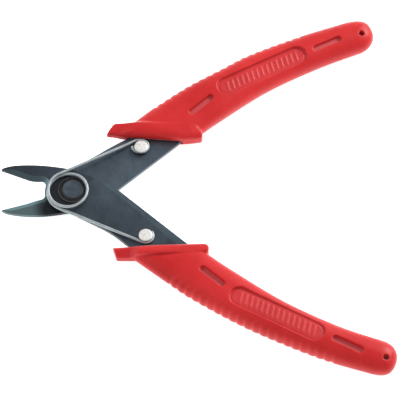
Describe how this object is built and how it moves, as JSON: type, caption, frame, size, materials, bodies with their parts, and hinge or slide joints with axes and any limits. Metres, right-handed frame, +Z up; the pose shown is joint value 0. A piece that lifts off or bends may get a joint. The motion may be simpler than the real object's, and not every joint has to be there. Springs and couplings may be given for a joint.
{
  "type": "sprue nippers",
  "caption": "Lap-jointed side cutting nippers with bypass jaws, a wire torsion spring round the rivet, and moulded grips with finger guards.",
  "frame": {"origin": "under the middle of the open tool's bounding box, on the surface it lies on", "axes": "-X towards the jaw tips, +X towards the handle ends, +Y towards the rear handle, +Z up, away from the surface and along the pivot rivet"},
  "size_m": [0.12, 0.1248, 0.0084],
  "materials": {
    "blacked_steel": "heat-blackened pressing with ground bevels",
    "rivet_steel": "blackened, flat turned head",
    "spring_wire": "bright drawn wire",
    "pin_steel": "pale plated, finely pitted top",
    "red_grip": "satin moulded"
  },
  "bodies": {
    "front_half": {"front_blade": "blacked_steel", "pivot_rivet": "rivet_steel", "front_spring_pin": "pin_steel", "torsion_spring": "spring_wire", "front_grip": "red_grip"},
    "rear_half": {"rear_blade": "blacked_steel", "rear_spring_pin": "pin_steel", "rear_grip": "red_grip"}
  },
  "joints": [
    {"name": "pivot", "type": "hinge", "parent": "front_half", "child": "rear_half", "pos_m": [-0.03805, 0.00071, 0.0042], "axis": [0, 0, 1], "range_deg": [-36, 0], "stiffness_Nm_per_rad": 0.12, "springref_deg": 20.05, "deforming": ["torsion_spring"]}
  ]
}
